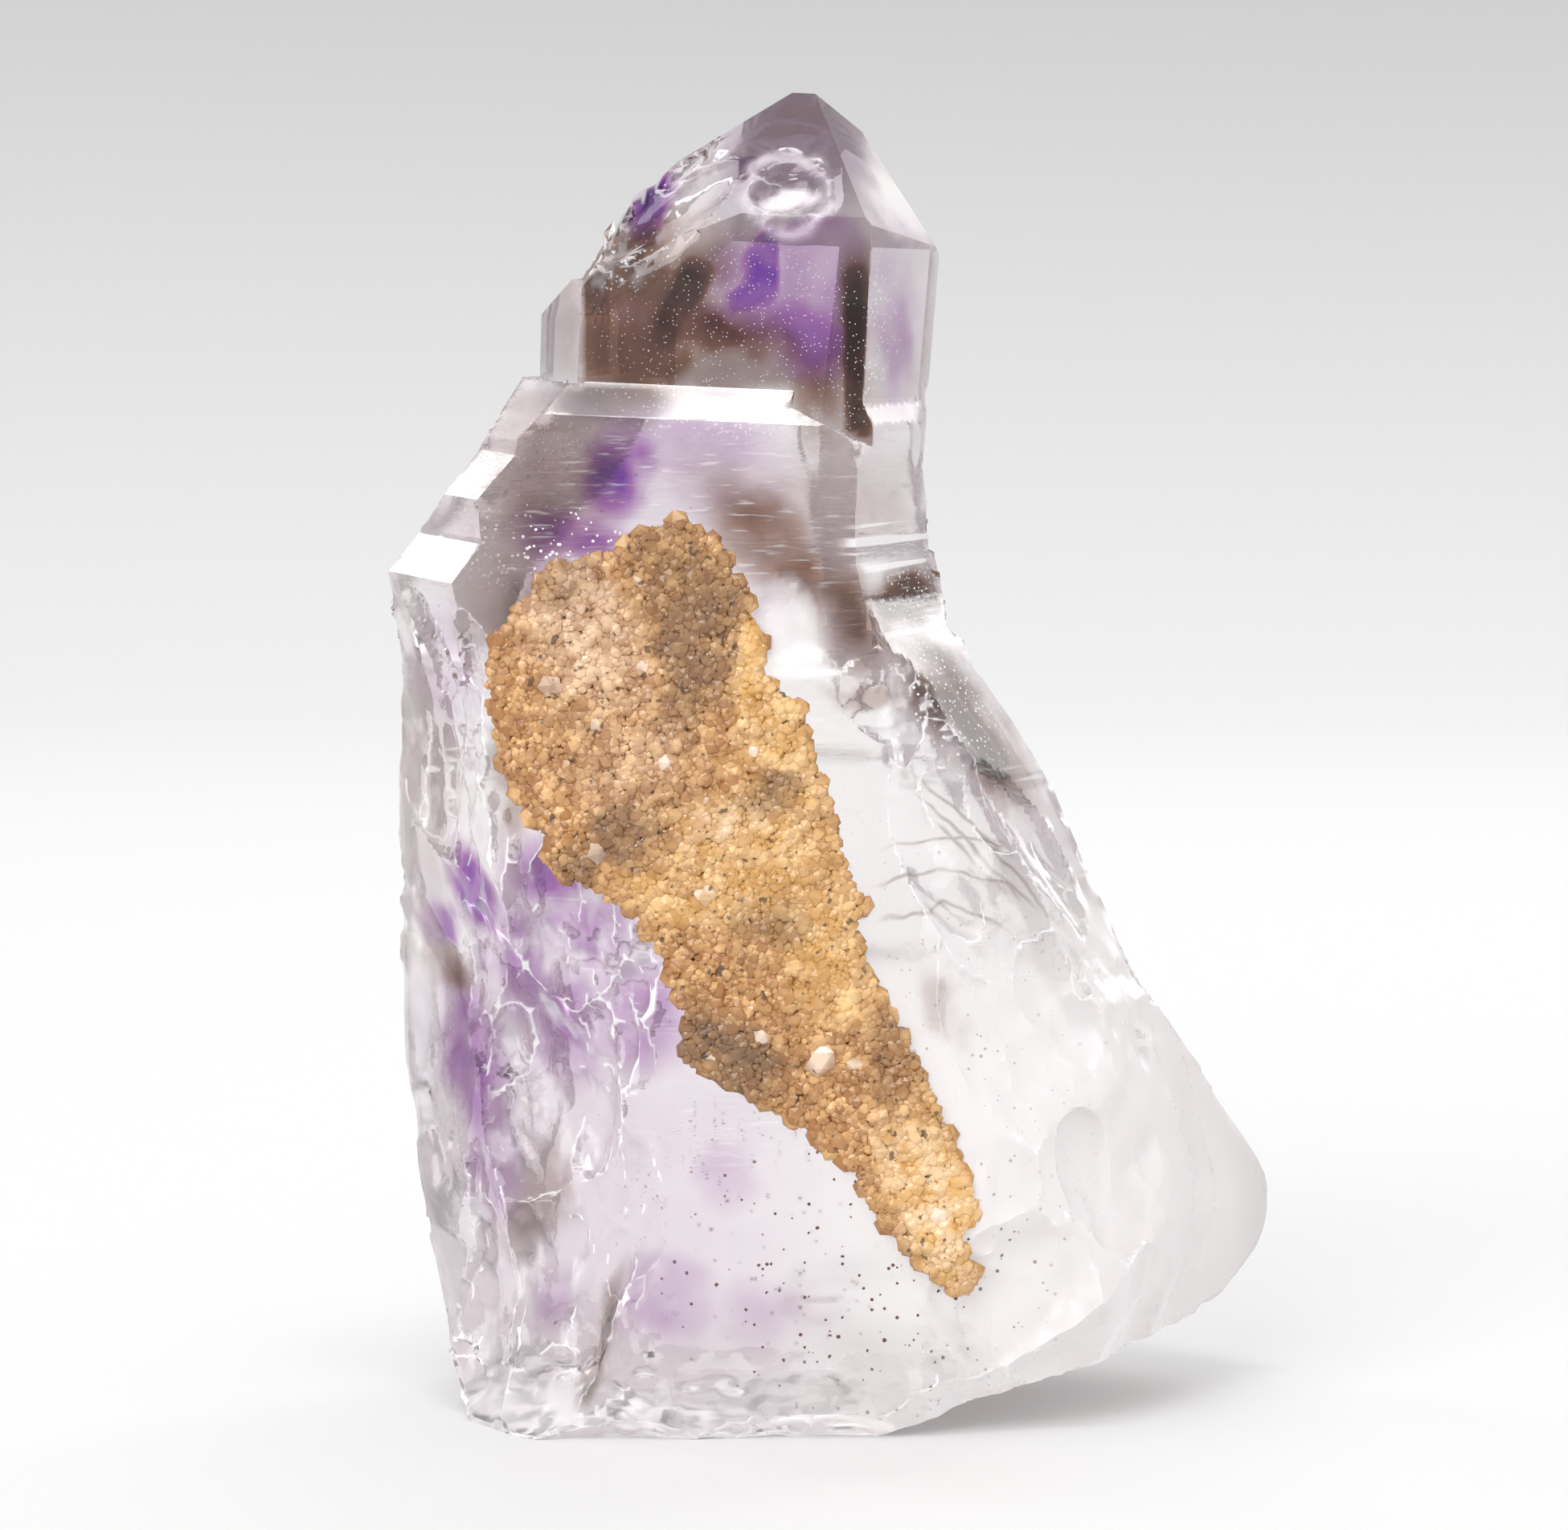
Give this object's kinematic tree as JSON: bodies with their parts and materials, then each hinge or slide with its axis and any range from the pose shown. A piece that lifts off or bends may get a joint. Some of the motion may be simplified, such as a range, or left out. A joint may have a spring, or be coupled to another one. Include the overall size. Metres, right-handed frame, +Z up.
{
  "type": "reverse scepter quartz crystal",
  "caption": "Free-standing reverse scepter quartz: a broad stepped clear crystal with a narrower pointed tip, a broken foot and a crust of fine quartz grains on its front.",
  "frame": {"origin": "under the middle of the object's box, on the plane of the flat foot it stands on", "axes": "+Z up along the crystal, -Y out of the broad front face that carries the crust, +X to the viewer's right"},
  "size_m": [0.0454, 0.0274, 0.0671],
  "materials": {
    "clear_quartz": "clear, pale lilac quartz with violet and smoky brown zones inside; glossy growth faces and rough shell-shaped breaks",
    "grainy_quartz": "tan and ochre crust of fine sugary quartz grains, half see-through, with grey-brown patches"
  },
  "bodies": {
    "root": {"quartz_crystal": "clear_quartz", "grain_crust": "grainy_quartz"}
  },
  "joints": []
}
